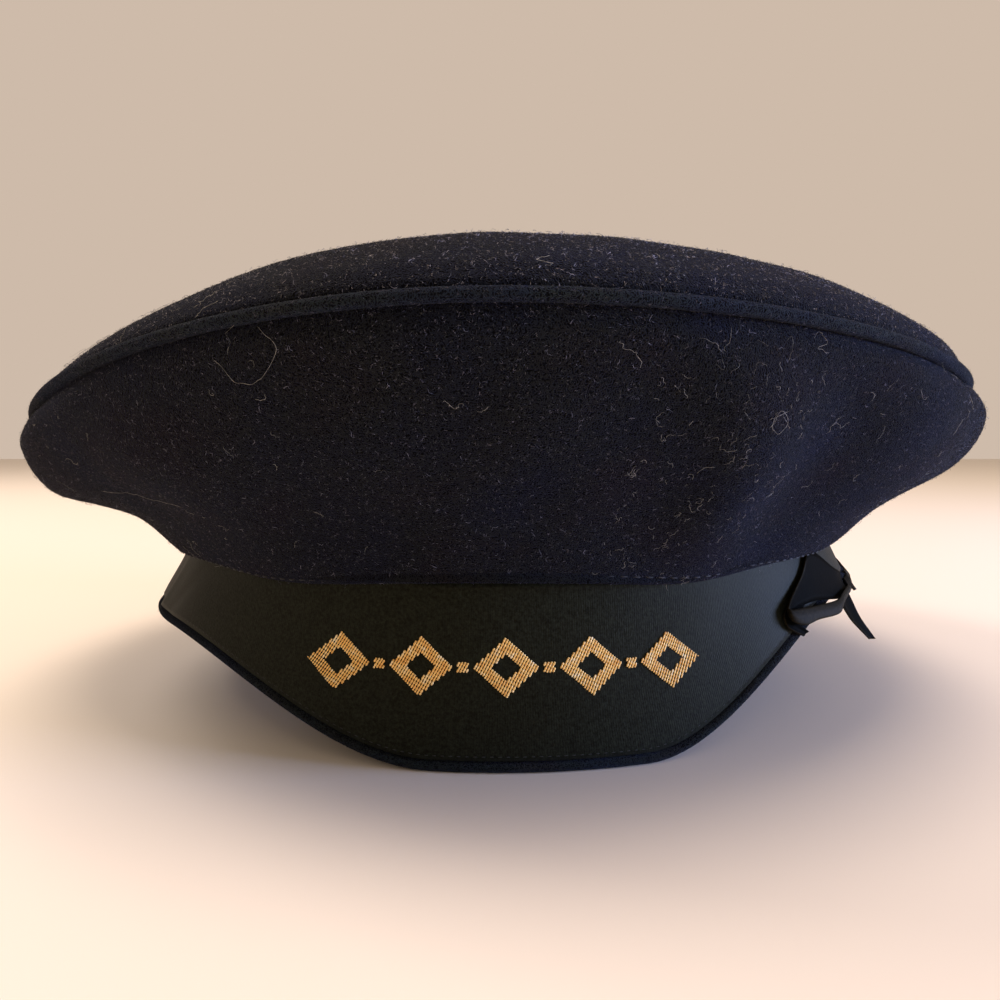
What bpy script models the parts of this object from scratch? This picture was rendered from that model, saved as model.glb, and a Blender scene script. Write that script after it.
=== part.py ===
"""Sailor cap: a soft round cap of navy wool with a wide puffed crown, a raised welt round its rim,
a wool head band, a black silk ribbon round the band and a ribbon bow over the wearer's left ear.

The frame is in metres with +Z up. The front of the cap faces -Y, and the wearer's left is +X.
The origin is on the surface that the cap rests on, under the middle of the head band.
All sizes below are in millimetres.
"""

from collections import namedtuple
from math import cos, pi, radians, sin

import bmesh
import bpy
import numpy as np

MM = 0.001

# Walls and gaps
CROWN_WALL = 2.2
BAND_WALL = 2.4
RIBBON_WALL = 1.0
SWEATBAND_WALL = 1.2

# The ribbon lies on the band and the sweatband inside it. Insets are measured level, and the band
# leans at the sides, so they hold a little more than the walls do.
BAND_INSET = 1.6
SWEATBAND_INSET = 4.7

SIDES_ROUND = 52
ROWS_PER_SECTION = 2

# A section is the closed line round the cap at one level. Its reach is how far it stands from the
# middle in front, on the wearer's left (right in the picture), behind, and on the other side; z_* is
# its height there. lifted is the share of the band's side lift that is added to the height, and
# slack the share of the sags that is taken off it.
Section = namedtuple(
    "Section", "name front left back right z_front z_left z_back z_right lifted slack", defaults=(0.0,)
)

# The ribbon's outer face, foot to top
RIBBON_FACE = (
    Section("foot", 88.7, 99.6, 88.7, 99.6, 4.0, 4.0, 4.0, 4.0, 1.0),
    Section("middle", 88.6, 92.0, 88.6, 90.0, 20.0, 18.0, 20.0, 18.0, 1.0),
    Section("top", 88.0, 86.0, 88.0, 84.0, 39.8, 35.8, 39.8, 35.8, 1.0),
)

# The band's turned edge, which shows below the ribbon
BAND_HEM = (
    Section("hem", 89.0, 101.6, 89.0, 101.6, 0.0, 0.0, 0.0, 0.0, 1.0),
    Section("hem_top", 88.9, 100.3, 88.9, 100.3, 2.4, 2.4, 2.4, 2.4, 1.0),
    Section("hem_turn", 87.3, 98.6, 87.3, 98.6, 3.2, 3.0, 3.2, 3.0, 1.0),
)

# The crown's side panel. In front it rises straight from the seam; at the sides it hangs down over
# the band first, turns at the fold and then rises.
SIDE_PANEL = (
    Section("seam", 88.0, 85.0, 88.0, 83.0, 40.5, 37.2, 40.5, 37.2, 1.0),
    Section("shoulder", 88.7, 88.2, 88.7, 86.2, 41.1, 36.4, 41.1, 36.4, 1.0, 0.4),
    Section("drape", 89.4, 92.8, 89.4, 89.3, 41.8, 36.0, 41.8, 35.0, 0.5, 0.9),
    Section("fold", 90.4, 96.5, 90.4, 92.5, 42.0, 42.0, 42.0, 38.6, 0.0, 1.0),
    Section("under", 97.0, 108.0, 97.0, 103.5, 52.0, 51.0, 50.5, 47.3, 0.0, 0.4),
    Section("belly", 107.0, 123.5, 108.0, 123.0, 66.0, 60.0, 61.0, 52.0, 0.0),
    Section("tip", 113.0, 129.0, 114.5, 129.0, 77.0, 70.2, 71.0, 62.5, 0.0),
)

# The welt's line, between the side panel and the top
RIM = Section("rim", 117.3, 124.6, 117.3, 122.8, 87.4, 76.0, 80.5, 66.8, 0.0)

# The domed top. Its middle is the pole.
TOP_PANEL = (
    Section("edge", 113.0, 117.0, 113.0, 115.5, 93.8, 82.5, 87.3, 72.0, 0.0),
    Section("rise", 99.0, 99.5, 99.0, 97.5, 100.6, 91.8, 96.0, 81.3, 0.0),
    Section("crest", 66.0, 66.0, 66.0, 66.0, 107.5, 104.0, 104.5, 98.6, 0.0),
    Section("plateau", 32.0, 32.0, 32.0, 32.0, 110.0, 110.0, 109.0, 108.5, 0.0),
)
TOP_HEIGHT = 110.5

# The band lies on the surface in front and behind, and arches up at the sides. On each side the
# lift starts and is complete at these distances from the middle plane.
Lift = namedtuple("Lift", "height start end")
LIFT_LEFT = Lift(31.0, 29.5, 83.0)
LIFT_RIGHT = Lift(22.0, 14.0, 78.0)
LIFT_REACH = 96.0

# The side panel hangs slack at two places in front, where its fold is lower than elsewhere. Angles
# are degrees from the front, towards the wearer's left.
Sag = namedtuple("Sag", "angle spread depth")
SAGS = (Sag(-28.0, 13.0, 3.0), Sag(24.0, 14.0, 1.5))

# Welt
WELT_HALF_HEIGHT = 1.6
WELT_HALF_DEPTH = 1.5
WELT_INSET = 0.6
WELT_GROOVE = 0.9
WELT_SIDES = 8

# Bow. Each strip of ribbon is given by the places of its two edges, one row for each place along it:
# degrees round from the front, height, and how far it stands off the ribbon on the level. Below the
# ribbon, that is measured from its face carried on downwards.
Row = namedtuple("Row", "top_angle top_height top_off foot_angle foot_height foot_off")
BOW_WALL = 0.9
BOW_STRIPS = {
    "bow_loop_front": (
        Row(60.0, 35.5, 0.9, 60.0, 30.0, 0.9),
        Row(57.0, 36.5, 0.9, 56.0, 29.0, 0.9),
        Row(51.5, 41.0, 0.9, 46.0, 28.9, 0.9),
        Row(47.0, 37.0, 1.2, 41.2, 27.6, 1.2),
        Row(43.0, 31.0, 1.9, 42.0, 27.0, 2.3),
        Row(43.8, 29.5, 2.4, 43.6, 25.4, 3.2),
        Row(50.5, 29.3, 2.3, 49.5, 25.8, 3.0),
        Row(56.5, 29.8, 2.3, 55.5, 27.2, 2.3),
        Row(60.0, 32.0, 2.2, 60.0, 29.2, 2.2),
    ),
    "bow_loop_back": (
        Row(66.0, 34.5, 0.8, 66.0, 30.0, 0.8),
        Row(72.0, 35.0, 0.8, 72.0, 29.0, 0.8),
        Row(80.0, 37.5, 0.9, 81.0, 28.0, 0.9),
        Row(88.0, 38.0, 1.2, 90.0, 27.5, 1.2),
        Row(90.0, 37.0, 2.1, 91.5, 27.0, 2.1),
        Row(87.0, 36.0, 2.6, 88.0, 26.5, 2.7),
        Row(80.0, 34.5, 2.4, 80.5, 27.0, 2.5),
        Row(72.0, 33.0, 2.1, 72.0, 28.0, 2.1),
        Row(66.0, 33.0, 2.1, 66.0, 28.8, 2.1),
    ),
    "bow_tail_long": (
        Row(60.8, 27.9, 1.5, 64.8, 27.9, 1.5),
        Row(60.0, 25.0, 1.5, 65.0, 25.4, 1.1),
        Row(59.4, 21.0, 1.7, 63.4, 21.2, 1.2),
        Row(59.0, 16.8, 2.6, 61.2, 16.6, 2.2),
    ),
    "bow_tail_short": (
        Row(49.0, 27.9, 1.0, 50.0, 26.4, 1.0),
        Row(45.5, 27.4, 1.0, 47.3, 24.8, 1.0),
        Row(42.0, 26.7, 1.0, 45.0, 23.0, 1.0),
        Row(40.3, 25.8, 0.9, 43.7, 22.1, 1.0),
    ),
}
KNOT_ANGLES = (60.6, 65.4)
KNOT_HEIGHTS = (28.4, 35.8)
KNOT_OFFS = (0.5, 3.2)
KNOT_ROWS = 5
KNOT_SIDES = 12
FLARE_CARRIED_ON = 20


def smooth(t):
    """0 below 0, 1 above 1, and an easy curve between."""
    t = np.clip(t, 0.0, 1.0)
    return t * t * (3.0 - 2.0 * t)


def lift_at(angles):
    """Height by which the band's arch raises it at these angles."""
    across = np.sin(angles) * LIFT_REACH
    left = LIFT_LEFT.height * smooth((across - LIFT_LEFT.start) / (LIFT_LEFT.end - LIFT_LEFT.start))
    right = LIFT_RIGHT.height * smooth((-across - LIFT_RIGHT.start) / (LIFT_RIGHT.end - LIFT_RIGHT.start))
    return left + right


def sag_at(angles):
    """Depth of the side panel's slack at these angles."""
    turned = np.degrees(np.arctan2(np.sin(angles), np.cos(angles)))
    return sum(sag.depth * np.exp(-(((turned - sag.angle) / sag.spread) ** 2)) for sag in SAGS)


def section_points(section, angles):
    """The section's closed line: four quarter ellipses in plan, eased from height to height."""
    s, c = np.sin(angles), np.cos(angles)
    x = np.where(s > 0, section.left, section.right) * s
    y = -np.where(c > 0, section.front, section.back) * c
    z = np.where(c > 0, section.z_front, section.z_back) * c**2
    z = z + np.where(s > 0, section.z_left, section.z_right) * s**2
    z = z + section.lifted * lift_at(angles) - section.slack * sag_at(angles)
    return np.stack([x, y, z], axis=-1)


def inset(section, distance):
    """The same section, nearer to the middle by a level distance."""
    return section._replace(
        front=section.front - distance,
        left=section.left - distance,
        back=section.back - distance,
        right=section.right - distance,
    )


def through(lines, steps=ROWS_PER_SECTION):
    """Rows of a smooth surface that passes through the given lines, by Catmull-Rom curves."""
    lines = np.asarray(lines)
    before = 2 * lines[:1] - lines[1:2]
    after = 2 * lines[-1:] - lines[-2:-1]
    p = np.concatenate([before, lines, after])
    rows = []
    for i in range(1, len(p) - 2):
        for t in np.arange(steps) / steps:
            rows.append(
                0.5
                * (
                    2 * p[i]
                    + (p[i + 1] - p[i - 1]) * t
                    + (2 * p[i - 1] - 5 * p[i] + 4 * p[i + 1] - p[i + 2]) * t**2
                    + (3 * p[i] - p[i - 1] - 3 * p[i + 1] + p[i + 2]) * t**3
                )
            )
    rows.append(lines[-1])
    return np.array(rows)


def ring_angles(count=SIDES_ROUND):
    """Angles round the cap from the front, towards the wearer's left."""
    return np.arange(count) * 2 * pi / count


def unit(vectors):
    return vectors / np.linalg.norm(vectors, axis=-1, keepdims=True)


def rim_frame(angles):
    """The welt's line, the direction of the crown's surface across it, and the outward normal."""
    line = section_points(RIM, angles)
    below = section_points(SIDE_PANEL[-1], angles)
    above = section_points(TOP_PANEL[0], angles)
    up = unit(above - below)
    along = unit(np.roll(line, -1, axis=0) - np.roll(line, 1, axis=0))
    return line, up, unit(np.cross(along, up))


def material(name, colour, roughness, metallic=0.0):
    made = bpy.data.materials.new(name)
    made.use_nodes = True
    shader = made.node_tree.nodes["Principled BSDF"]
    shader.inputs["Base Color"].default_value = (*colour, 1.0)
    shader.inputs["Roughness"].default_value = roughness
    shader.inputs["Metallic"].default_value = metallic
    return made


def object_from(name, bm, finish):
    """Turns a bmesh into a named object with its material, shaded smooth."""
    mesh = bpy.data.meshes.new(name)
    bm.to_mesh(mesh)
    bm.free()
    mesh.shade_smooth()
    mesh.set_sharp_from_angle(angle=radians(40))
    mesh.materials.append(finish)
    made = bpy.data.objects.new(name, mesh)
    bpy.context.scene.collection.objects.link(made)
    return made


def ring_sheet(name, rows, finish, wall, pole=None):
    """A sheet round the cap from rows of points (millimetres), thickened inwards.

    With a pole, the last row is closed by a fan to that point."""
    bm = bmesh.new()
    rings = [[bm.verts.new(p * MM) for p in row] for row in rows]
    count = len(rings[0])
    for low, high in zip(rings, rings[1:]):
        for i in range(count):
            j = (i + 1) % count
            bm.faces.new((low[i], low[j], high[j], high[i]))
    if pole is not None:
        centre = bm.verts.new(np.asarray(pole) * MM)
        for i in range(count):
            bm.faces.new((rings[-1][i], rings[-1][(i + 1) % count], centre))
    made = object_from(name, bm, finish)
    thicken = made.modifiers.new("wall", "SOLIDIFY")
    thicken.thickness = wall * MM
    thicken.offset = -1.0
    return made


def closed_ring(name, rows, finish):
    """A solid ring whose rows go once round its section: up outside and down inside."""
    bm = bmesh.new()
    rings = [[bm.verts.new(p * MM) for p in row] for row in rows]
    sides, count = len(rings), len(rings[0])
    for k in range(sides):
        low, high = rings[k], rings[(k + 1) % sides]
        for i in range(count):
            j = (i + 1) % count
            bm.faces.new((low[i], low[j], high[j], high[i]))
    return object_from(name, bm, finish)


def crown_side(wool):
    angles = ring_angles()
    line, up, _ = rim_frame(angles)
    end = line - up * (WELT_HALF_HEIGHT + WELT_GROOVE)
    lines = [section_points(s, angles) for s in SIDE_PANEL] + [end]
    return ring_sheet("crown_side", through(lines), wool, CROWN_WALL)


def crown_top(wool):
    angles = ring_angles()
    line, up, _ = rim_frame(angles)
    start = line + up * (WELT_HALF_HEIGHT + WELT_GROOVE)
    lines = [start] + [section_points(s, angles) for s in TOP_PANEL]
    return ring_sheet("crown_top", through(lines), wool, CROWN_WALL, pole=(0.0, 0.0, TOP_HEIGHT))


def rim_welt(wool):
    line, up, out = rim_frame(ring_angles())
    centre = line - out * WELT_INSET
    rows = []
    for k in range(WELT_SIDES):
        turn = 2 * pi * (k + 0.5) / WELT_SIDES
        rows.append(centre + out * WELT_HALF_DEPTH * cos(turn) + up * WELT_HALF_HEIGHT * sin(turn))
    return closed_ring("rim_welt", rows, wool)


def band_face(distance):
    """Rows of the band's surface this far in from its outer face, edge to top."""
    angles = ring_angles()
    hem = [section_points(inset(s, distance), angles) for s in BAND_HEM]
    wall = through([section_points(inset(s, BAND_INSET + distance), angles) for s in RIBBON_FACE])
    return np.concatenate([hem, wall])


def head_band(wool):
    """The wool band: its turned edge stands flush with the ribbon, and the rest lies behind it. The
    edge is flat underneath, where the cap rests on it."""
    rows = np.concatenate([band_face(0.0), band_face(BAND_WALL)[::-1]])
    return closed_ring("band", rows, wool)


def hat_ribbon(silk):
    angles = ring_angles()
    wall = through([section_points(s, angles) for s in RIBBON_FACE])
    return ring_sheet("hat_ribbon", wall, silk, RIBBON_WALL)


def sweatband(cotton):
    """The strip inside the band. It stops short of the surface and of the band's top, and hangs a
    little below the band's edge where the band arches up."""
    angles = ring_angles()
    foot, middle, top = (inset(s, SWEATBAND_INSET) for s in RIBBON_FACE)
    lines = [
        section_points(foot._replace(z_front=0.8, z_left=0.8, z_back=0.8, z_right=0.8, lifted=0.92), angles),
        section_points(middle, angles),
        section_points(top._replace(z_front=34.0, z_left=31.0, z_back=34.0, z_right=31.0), angles),
    ]
    return ring_sheet("sweatband", through(lines), cotton, SWEATBAND_WALL)


def beside_band(angle_deg, height, off):
    """A point at this height, and this far out on the level from the ribbon's face, which is carried
    on straight below its foot."""
    step = radians(0.5)
    a = radians(angle_deg) + np.array([-step, 0.0, step])
    face = through([section_points(s, a) for s in RIBBON_FACE], steps=20)
    rows = np.concatenate([face[:1, 1] - (face[1, 1] - face[0, 1]) * FLARE_CARRIED_ON, face[:, 1]])
    x, y = (np.interp(height, rows[:, 2], rows[:, k]) for k in (0, 1))
    along = face[0][2] - face[0][0]
    out = unit(np.array([along[1], -along[0], 0.0]))
    return np.array([x, y, height]) + out * off


def strip(name, rows, finish, steps=3):
    """A strip of ribbon between the two edges that its rows give, as one closed solid."""
    tops = [beside_band(r.top_angle, r.top_height, r.top_off) for r in rows]
    feet = [beside_band(r.foot_angle, r.foot_height, r.foot_off) for r in rows]
    tops, feet = through(tops, steps), through(feet, steps)
    along = unit(np.gradient((tops + feet) / 2, axis=0))
    half = unit(np.cross(along, tops - feet)) * BOW_WALL / 2
    bm = bmesh.new()
    rings = []
    for top, foot, h in zip(tops, feet, half):
        rings.append([bm.verts.new(p * MM) for p in (foot - h, top - h, top + h, foot + h)])
    for low, high in zip(rings, rings[1:]):
        for i in range(4):
            j = (i + 1) % 4
            bm.faces.new((low[i], low[j], high[j], high[i]))
    bm.faces.new(reversed(rings[0]))
    bm.faces.new(rings[-1])
    bmesh.ops.recalc_face_normals(bm, faces=bm.faces)
    return object_from(name, bm, finish)


def bow_knot(silk):
    """The wrap between the loops: rounded outlines that stand side by side along the band."""
    bm = bmesh.new()
    rings = []
    for k in range(KNOT_ROWS):
        along = k / (KNOT_ROWS - 1)
        waist = 1.0 - 0.12 * sin(pi * along)
        angle = KNOT_ANGLES[0] + (KNOT_ANGLES[1] - KNOT_ANGLES[0]) * along
        ring = []
        for i in range(KNOT_SIDES):
            turn = 2 * pi * i / KNOT_SIDES
            height = np.mean(KNOT_HEIGHTS) + np.ptp(KNOT_HEIGHTS) / 2 * waist * cos(turn)
            off = KNOT_OFFS[0] + np.ptp(KNOT_OFFS) / 2 * waist * (1 + sin(turn))
            ring.append(bm.verts.new(beside_band(angle, height, off) * MM))
        rings.append(ring)
    for low, high in zip(rings, rings[1:]):
        for i in range(KNOT_SIDES):
            j = (i + 1) % KNOT_SIDES
            bm.faces.new((low[i], low[j], high[j], high[i]))
    bm.faces.new(reversed(rings[0]))
    bm.faces.new(rings[-1])
    bmesh.ops.recalc_face_normals(bm, faces=bm.faces)
    return object_from("bow_knot", bm, silk)


def main():
    for old in list(bpy.data.objects):
        bpy.data.objects.remove(old)
    wool = material("navy melton wool", (0.012, 0.013, 0.022), 0.95)
    silk = material("black silk ribbon", (0.010, 0.012, 0.012), 0.6)
    cotton = material("black cotton sateen", (0.008, 0.008, 0.009), 0.8)
    crown_side(wool)
    crown_top(wool)
    rim_welt(wool)
    head_band(wool)
    hat_ribbon(silk)
    sweatband(cotton)
    for name, rows in BOW_STRIPS.items():
        strip(name, rows, silk)
    bow_knot(silk)


main()
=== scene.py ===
"""Looks of the sailor cap: milled wool crown, welt and band, a black silk ribbon with a woven gold
ornament, a ribbon bow, and the nap, lint and stitches that a close look shows.

Lengths are in millimetres unless a name says otherwise. The front faces -Y and the wearer's left is
+X. Angles go round the cap from the front towards the wearer's left.
"""

from collections import namedtuple

import bmesh
import bpy
import numpy as np
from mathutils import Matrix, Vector


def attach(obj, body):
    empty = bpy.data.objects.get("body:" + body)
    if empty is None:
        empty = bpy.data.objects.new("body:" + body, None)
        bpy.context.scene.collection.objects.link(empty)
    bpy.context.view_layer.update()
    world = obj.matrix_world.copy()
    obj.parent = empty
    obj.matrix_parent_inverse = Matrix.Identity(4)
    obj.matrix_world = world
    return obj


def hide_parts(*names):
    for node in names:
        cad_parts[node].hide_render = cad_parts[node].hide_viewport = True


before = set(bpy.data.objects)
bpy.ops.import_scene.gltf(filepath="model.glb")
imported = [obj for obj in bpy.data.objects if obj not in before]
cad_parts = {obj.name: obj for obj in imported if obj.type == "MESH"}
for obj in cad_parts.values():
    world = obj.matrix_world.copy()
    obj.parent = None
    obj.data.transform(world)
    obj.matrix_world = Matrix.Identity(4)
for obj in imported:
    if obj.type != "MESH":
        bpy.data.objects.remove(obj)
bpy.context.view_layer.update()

MM = 0.001
# The least height of the nap over the floor
FLOOR_GAP = 0.05
RANDOM_SEED = 7

# Camera, found from the perspective of the picture's backdrop
CAMERA_PLACE_M = (0.0, -0.2244, 0.06615)
CAMERA_NEAREST_M = 0.005
CAMERA_TILT_DEG = 80.06
CAMERA_SENSOR = 36.0
CAMERA_LENS = 25.67
CAMERA_SHIFT_UP = 0.069

# Thickness of each cloth, and how far inside the ribbon's face the band and the sweatband stand
CROWN_WALL = 2.2
BAND_WALL = 2.4
RIBBON_WALL = 0.6
SWEATBAND_WALL = 1.2
BAND_INSET = 1.6
SWEATBAND_INSET = 4.7

# Points round the cap or round the welt, and rows of points from one section to the next
SIDES_ROUND = 400
SIDES_OF_RIBBON = 600
SIDES_OF_WELT = 18
STEPS_ON_SIDE = 10
STEPS_ON_TOP = 12
STEPS_ON_BAND = 6
STEPS_ON_RIBBON = 14

# A section is the closed line round the cap at one level: how far it stands from the middle in front,
# on the wearer's left, behind and on the right, its height there, the share of the band's side lift
# that is added to the height, and the share of the sags that is taken off it.
Section = namedtuple(
    "Section", "name front left back right z_front z_left z_back z_right lifted slack", defaults=(0.0, 0.0)
)

RIBBON_FACE = (
    Section("foot", 88.8, 99.9, 88.8, 99.9, 2.8, 1.7, 2.8, 1.7, 1),
    Section("middle", 88.6, 90.6, 88.6, 90, 20, 18, 20, 18, 1),
    Section("top", 88, 86, 88, 84, 39.8, 35.8, 39.8, 35.8, 1),
)
HEM = Section("hem", 89, 102.1, 89, 101.6, 0, 0, 0, 0, 1)
SIDE_PANEL = (
    Section("seam", 88, 85, 88, 83, 40.5, 37.2, 40.5, 37.2, 1),
    Section("shoulder", 88.7, 88.2, 88.7, 86.2, 40.7, 36.4, 41.1, 36.4, 1, 0.4),
    Section("drape", 89.4, 92.8, 89.4, 89.3, 40.7, 36, 41.8, 35, 0.5, 0.9),
    Section("fold", 90.4, 96.5, 90.4, 92.5, 40.6, 42, 42, 38.6, 0, 1),
    Section("under", 97, 108, 97, 103.5, 52, 51, 50.5, 47.3, 0, 0.4),
    Section("belly", 107, 123.5, 108, 123.4, 66, 60, 61, 51.2),
    Section("tip", 113, 128.8, 114.5, 128.4, 77, 70.2, 71, 60.6),
)
RIM = Section("rim", 117.3, 122.2, 117.3, 122.6, 87.4, 76, 80.5, 66.8)
TOP_PANEL = (
    Section("edge", 113, 117, 113, 115.5, 93.8, 82.5, 87.3, 72),
    Section("rise", 99, 99.5, 99, 97.5, 100.6, 91.8, 96, 80.4),
    Section("crest", 66, 66, 66, 66, 107.5, 104, 104.5, 97.9),
    Section("plateau", 32, 32, 32, 32, 110, 110, 109, 108.5),
    Section("centre", 2, 2, 2, 2, 110.5, 110.5, 110.5, 110.5),
)
TOP_HEIGHT = 110.5

# The band's arch: how high it lifts the cap on the wearer's left and right, and how far out across the
# cap it starts and ends, LIFT_REACH being all the way out
Lift = namedtuple("Lift", "height start end")
LIFT_LEFT = Lift(31, 29.5, 85)
LIFT_RIGHT = Lift(22, 14, 78)
LIFT_REACH = 96.0

# Where the side panel's lower edge sags, in degrees, how widely and how deep
Sag = namedtuple("Sag", "angle spread depth")
SAGS = (Sag(-28, 13, 1.9), Sag(26, 14, 1.6))

# Soft folds of the side panel: where they start at the seam and end at the rim, in degrees, how wide
# they are, and how far they stand out (or in, if negative)
Fold = namedtuple("Fold", "seam_angle rim_angle spread out")
SIDE_FOLDS = (
    Fold(29, 17, 5, 3),
    Fold(40, 26, 6, -3.2),
    Fold(51, 40, 8, 1.6),
    Fold(-22, -30, 9, 0.9),
    Fold(-38, -44, 8, -1),
    Fold(2, 4, 10, -0.7),
    Fold(150, 146, 12, 1.2),
    Fold(205, 210, 11, -1),
    Fold(250, 247, 12, 1),
    Fold(100, 97, 12, -1),
)

# Low waves of cloth that isn't pulled tight: their height, how many go round the cap, how far they
# turn on the way up, and where they start
Wave = namedtuple("Wave", "height around upwards start")
CROWN_WAVES = (
    Wave(0.30, 7, 5.1, 0.0),
    Wave(0.22, 13, -6.9, 1.0),
    Wave(0.16, 19, 12.3, 2.0),
    Wave(0.10, 31, -15.9, 0.0),
)
SIDE_WAVES_TURN = 0.4
TOP_WAVES_TURN = 2.1
TOP_WAVES_SHARE = 0.5
RIBBON_WAVES = (Wave(0.10, 11, 2.0, 0.0), Wave(0.07, 23, -5.0, 0.0))

# Shares of the way from seam to rim: where the side's folds and waves set in, over how much of it they
# grow, and over how much they fade below the rim
FOLDS_START = 0.36
FOLDS_GROW = 0.3
FOLDS_FADE = 0.25

# Creases low on the ribbon: their angle at its foot, how far they turn on the way up, and how far they
# stand out
Crease = namedtuple("Crease", "angle turn out")
RIBBON_CREASES = (
    Crease(-64, 10, 0.5),
    Crease(-70, 16, -0.6),
    Crease(-76, 8, 0.5),
    Crease(-58, 20, -0.3),
)
CREASE_SPREAD = 2.2
CREASE_FADE = 1.6

WELT_HALF_HEIGHT = 1.15
WELT_HALF_DEPTH = 1.35
WELT_INSET = 0.5
# How far from the welt's roll each panel ends, how far its edge turns in there (the side's further in
# front and behind), and in what share of its height
TOP_GROOVE = 0.3
SIDE_GROOVE = 0.45
SEAM_TUCK = 0.6
FRONT_TUCK = 1.2
SIDE_TUCK_SHARE = 0.05
TOP_TUCK_SHARE = 0.032


def smooth(t):
    """0 below 0, 1 above 1, and an easy curve between."""
    t = np.clip(t, 0.0, 1.0)
    return t * t * (3.0 - 2.0 * t)


def lift_at(angles):
    """Height by which the band's arch raises it at these angles."""
    across = np.sin(angles) * LIFT_REACH
    raised = 0.0
    for lift, out in ((LIFT_LEFT, across), (LIFT_RIGHT, -across)):
        raised = raised + lift.height * smooth((out - lift.start) / (lift.end - lift.start))
    return raised


def turned_from(angles, middle_deg):
    """How many degrees these angles are from the middle one, from -180 to 180."""
    turned = angles - np.radians(middle_deg)
    return np.degrees(np.arctan2(np.sin(turned), np.cos(turned)))


def swell(angles, middle_deg, spread):
    """1 at the middle angle, and evenly down to nothing on both sides of it."""
    return np.exp(-((turned_from(angles, middle_deg) / spread) ** 2))


def sag_at(angles):
    """Depth of the side panel's sags at these angles."""
    return sum(sag.depth * swell(angles, sag.angle, sag.spread) for sag in SAGS)


def section_points(section, angles):
    """The section's closed line: four quarter ellipses in plan, eased from height to height."""
    s, c = np.sin(angles), np.cos(angles)
    x = np.where(s > 0, section.left, section.right) * s
    y = -np.where(c > 0, section.front, section.back) * c
    z = np.where(c > 0, section.z_front, section.z_back) * c**2
    z = z + np.where(s > 0, section.z_left, section.z_right) * s**2
    z = z + section.lifted * lift_at(angles) - section.slack * sag_at(angles)
    return np.stack([x, y, z], axis=-1)


def inset(section, distance):
    """The same section, nearer to the middle by a level distance."""
    sides = ("front", "left", "back", "right")
    return section._replace(**{side: getattr(section, side) - distance for side in sides})


def at_height(section, height, beside):
    """The same section at this height in front and behind, and at another beside."""
    return section._replace(z_front=height, z_left=beside, z_back=height, z_right=beside)


def lines_of(sections, angles, distance=0.0):
    """The closed lines of these sections, each this far inside its place."""
    return [section_points(inset(section, distance), angles) for section in sections]


def eased(p0, p1, p2, p3, t):
    """The Catmull-Rom cubic from p1 to p2, whose slopes there are those of their neighbours' chords."""
    return 0.5 * (
        2 * p1
        + (p2 - p0) * t
        + (2 * p0 - 5 * p1 + 4 * p2 - p3) * t**2
        + (3 * p1 - p0 - 3 * p2 + p3) * t**3
    )


def at_places(lines, places):
    """Points on smooth curves through the lines: place 1.5 is halfway from line 1 to line 2. There is
    one place for each row to be made, or one for each point of a line."""
    lines = np.asarray(lines)
    p = np.concatenate([2 * lines[:1] - lines[1:2], lines, 2 * lines[-1:] - lines[-2:-1]])
    places = np.asarray(places, float)
    i = np.clip(places.astype(int), 0, len(lines) - 2)
    if places.ndim == 1 and places.shape == lines.shape[1:2] and lines.ndim == 3:
        k = np.arange(len(places))
        return eased(p[i, k], p[i + 1, k], p[i + 2, k], p[i + 3, k], (places - i)[:, None])
    t = (places - i).reshape(-1, *[1] * (lines.ndim - 1))
    return eased(p[i], p[i + 1], p[i + 2], p[i + 3], t)


def through(lines, steps):
    """Rows of a smooth surface through the given lines, so many steps from each to the next."""
    count = (len(lines) - 1) * steps
    return at_places(lines, np.linspace(0, len(lines) - 1, count + 1))


def ring_angles(count=SIDES_ROUND):
    """Even angles once round, without the last, which is the first again."""
    return np.arange(count) * 2 * np.pi / count


def unit(vectors):
    """The same directions with length 1."""
    return vectors / np.maximum(np.linalg.norm(vectors, axis=-1, keepdims=True), 1e-9)


def normals_of(grid):
    """Outward unit normals of a grid whose columns go round the cap and whose rows go up it."""
    around = np.roll(grid, -1, axis=1) - np.roll(grid, 1, axis=1)
    return unit(np.cross(around, np.gradient(grid, axis=0)))


def rim_frame(angles):
    """The welt's line, the direction of the crown's surface across it, and the outward normal."""
    line = section_points(RIM, angles)
    below = section_points(SIDE_PANEL[-1], angles)
    above = section_points(TOP_PANEL[0], angles)
    up = unit(above - below)
    along = unit(np.roll(line, -1, axis=0) - np.roll(line, 1, axis=0))
    return line, up, unit(np.cross(along, up))


# Meshes


def placed(name, data):
    """A new object in the scene."""
    made = bpy.data.objects.new(name, data)
    bpy.context.scene.collection.objects.link(made)
    return made


def mesh_object(name, points, faces, uv=None, smooth_shaded=True):
    """An object from points in millimetres and a list of index arrays, one for each size of face. uv
    has a row for each corner, in the order of the faces."""
    mesh = bpy.data.meshes.new(name)
    mesh.vertices.add(len(points))
    mesh.vertices.foreach_set("co", (np.asarray(points) * MM).astype(np.float32).ravel())
    sizes = np.concatenate([np.full(len(f), f.shape[1]) for f in faces])
    corners = np.concatenate([f.ravel() for f in faces])
    mesh.loops.add(len(corners))
    mesh.loops.foreach_set("vertex_index", corners.astype(np.int32))
    mesh.polygons.add(len(sizes))
    mesh.polygons.foreach_set("loop_start", (np.cumsum(sizes) - sizes).astype(np.int32))
    mesh.update(calc_edges=True)
    if uv is not None:
        layer = mesh.uv_layers.new(name="along")
        layer.data.foreach_set("uv", np.asarray(uv, np.float32).ravel())
    mesh.validate()
    if smooth_shaded:
        mesh.shade_smooth()
    return placed(name, mesh)


def closed_round(grid):
    """The grid with its first column again at the end."""
    return np.concatenate([grid, grid[:, :1]], axis=1)


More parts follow.
